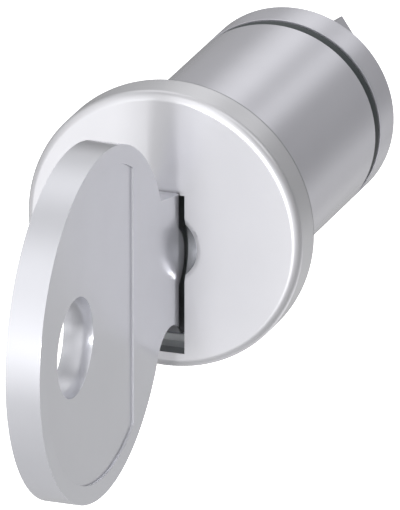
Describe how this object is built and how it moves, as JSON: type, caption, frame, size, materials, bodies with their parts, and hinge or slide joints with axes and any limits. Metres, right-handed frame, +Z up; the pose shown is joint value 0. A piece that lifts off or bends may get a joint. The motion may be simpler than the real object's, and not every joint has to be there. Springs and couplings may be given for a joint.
{
  "type": "cylinder lock",
  "caption": "Round cylinder lock with its key inserted: a turning face disc with an off-centre key slot, a plain round barrel, a dark thrust ring and a rear driver disc with a square stub.",
  "frame": {"origin": "on the lock axis, in the seat plane at the back of the flange, which rests on the panel", "axes": "+Y along the lock axis towards the rear (into the panel), +Z up with the key upright, +X to the right seen from the front"},
  "size_m": [0.019, 0.0581, 0.0234],
  "materials": {
    "face_nickel": "satin nickel plate, bright",
    "key_nickel": "nickel plate, matt blasted sides and a brighter rim",
    "barrel_steel": "fine turned nickel plate, satin",
    "driver_steel": "fine turned nickel plate, satin",
    "dark_ring": "dark grey low-friction plastic, matt",
    "pin_steel": "ground steel",
    "spring_steel": "bright spring steel",
    "screw_steel": "zinc-plated steel",
    "plug_brass": "machined brass",
    "wafer_brass": "stamped brass"
  },
  "bodies": {
    "barrel": {"stator_body": "barrel_steel", "stop_pin": "pin_steel", "front_washer": "spring_steel", "thrust_ring": "dark_ring"},
    "rotor": {"face_cap": "face_nickel", "plug": "plug_brass", "driver": "driver_steel", "driver_screws": "screw_steel", "wafer_spring_1": "spring_steel", "wafer_spring_2": "spring_steel", "wafer_spring_3": "spring_steel", "wafer_spring_4": "spring_steel", "wafer_spring_5": "spring_steel", "wafer_spring_6": "spring_steel"},
    "key": {"key": "key_nickel"},
    "wafer_1": {"wafer_1": "wafer_brass"},
    "wafer_2": {"wafer_2": "wafer_brass"},
    "wafer_3": {"wafer_3": "wafer_brass"},
    "wafer_4": {"wafer_4": "wafer_brass"},
    "wafer_5": {"wafer_5": "wafer_brass"},
    "wafer_6": {"wafer_6": "wafer_brass"}
  },
  "joints": [
    {"name": "lock_turn", "type": "hinge", "parent": "barrel", "child": "rotor", "pos_m": [0, 0, 0], "axis": [0, 1, 0], "range_deg": [0, 90]},
    {"name": "key_slide", "type": "slide", "parent": "rotor", "child": "key", "axis": [0, -1, 0], "range_m": [0, 0.022]},
    {"name": "wafer_1_lift", "type": "slide", "parent": "rotor", "child": "wafer_1", "axis": [0, 0, 1], "range_m": [0, 0.0006], "deforming": ["wafer_spring_1"]},
    {"name": "wafer_2_lift", "type": "slide", "parent": "rotor", "child": "wafer_2", "axis": [0, 0, 1], "range_m": [0, 0.0006], "deforming": ["wafer_spring_2"]},
    {"name": "wafer_3_lift", "type": "slide", "parent": "rotor", "child": "wafer_3", "axis": [0, 0, 1], "range_m": [0, 0.0006], "deforming": ["wafer_spring_3"]},
    {"name": "wafer_4_lift", "type": "slide", "parent": "rotor", "child": "wafer_4", "axis": [0, 0, 1], "range_m": [0, 0.0006], "deforming": ["wafer_spring_4"]},
    {"name": "wafer_5_lift", "type": "slide", "parent": "rotor", "child": "wafer_5", "axis": [0, 0, 1], "range_m": [0, 0.0006], "deforming": ["wafer_spring_5"]},
    {"name": "wafer_6_lift", "type": "slide", "parent": "rotor", "child": "wafer_6", "axis": [0, 0, 1], "range_m": [0, 0.0006], "deforming": ["wafer_spring_6"]}
  ],
  "couplings": [
    {"joint": "wafer_1_lift", "follows": "key_slide", "ratio": 0.0272},
    {"joint": "wafer_2_lift", "follows": "key_slide", "ratio": 0.0272},
    {"joint": "wafer_3_lift", "follows": "key_slide", "ratio": 0.0272},
    {"joint": "wafer_4_lift", "follows": "key_slide", "ratio": 0.0272},
    {"joint": "wafer_5_lift", "follows": "key_slide", "ratio": 0.0272},
    {"joint": "wafer_6_lift", "follows": "key_slide", "ratio": 0.0272}
  ]
}
